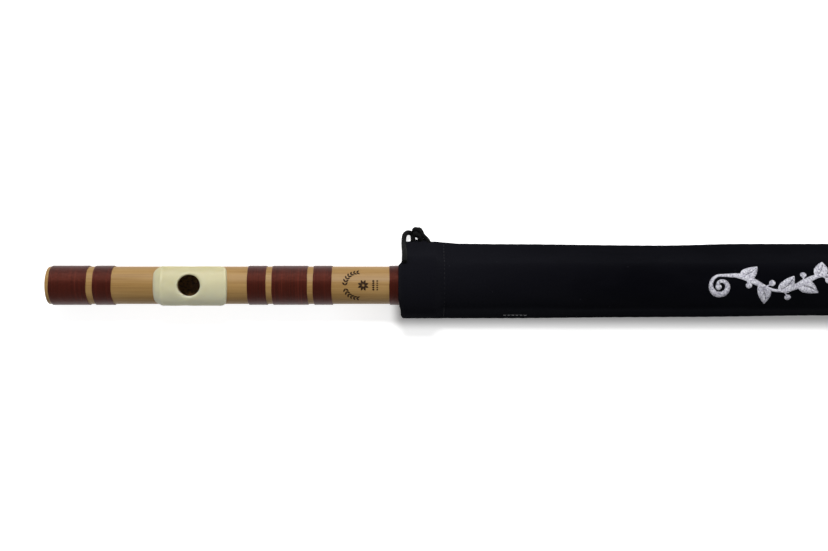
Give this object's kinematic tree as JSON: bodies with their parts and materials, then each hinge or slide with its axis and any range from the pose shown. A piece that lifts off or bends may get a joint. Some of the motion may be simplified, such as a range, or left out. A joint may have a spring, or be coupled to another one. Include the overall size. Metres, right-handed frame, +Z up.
{
  "type": "bansuri",
  "caption": "Side-blown bamboo flute with thread bindings, a cream lip plate and a cork stopper, half drawn into a velvet drawstring cover that slides along it.",
  "frame": {"origin": "on the table, under the middle of the box round the flute and its cover as they lie in the picture, without the drawstring's free ends", "axes": "+X runs from the flute's head end to the closed end of the cover, +Y to the far side where the drawstring leaves the cover, +Z up, the way the blow hole faces"},
  "size_m": [0.6938, 0.0536, 0.0332],
  "materials": {
    "bamboo": "smooth, lightly oiled",
    "cork": "raw cut",
    "cast_resin": "polished",
    "binding_thread": "wound thread, satin",
    "velvet": "short pile",
    "turned_in_cloth": "flat weave back of the velvet",
    "cord": "braided",
    "embroidery_thread": "satin stitch"
  },
  "bodies": {
    "flute": {"bamboo_tube": "bamboo", "lip_plate": "cast_resin", "binding_head_wide": "binding_thread", "binding_head_narrow": "binding_thread", "binding_middle_first": "binding_thread", "binding_middle_wide": "binding_thread", "binding_middle_last": "binding_thread", "binding_mouth": "binding_thread", "binding_between_hands": "binding_thread", "binding_lower": "binding_thread", "binding_foot_narrow": "binding_thread", "binding_foot_wide": "binding_thread"},
    "stopper": {"cork_stopper": "cork"},
    "cover": {"cover_front_mouth": "velvet", "cover_front_middle": "velvet", "cover_front_end": "velvet", "cover_back_panel": "velvet", "casing_outer": "velvet", "casing_hem": "turned_in_cloth", "casing_stitching": "cord", "near_seam_allowance": "turned_in_cloth", "far_seam_allowance": "turned_in_cloth", "end_seam_allowance": "turned_in_cloth", "drawstring_in_casing": "cord", "drawstring_tail": "cord", "drawstring_knot": "cord", "embroidered_sprig": "embroidery_thread"}
  },
  "joints": [
    {"name": "cover_slide", "type": "slide", "parent": "flute", "child": "cover", "axis": [1, 0, 0], "range_m": [-0.209, 0.2545]},
    {"name": "stopper_slide", "type": "slide", "parent": "flute", "child": "stopper", "axis": [1, 0, 0], "range_m": [-0.004, 0.004]}
  ]
}
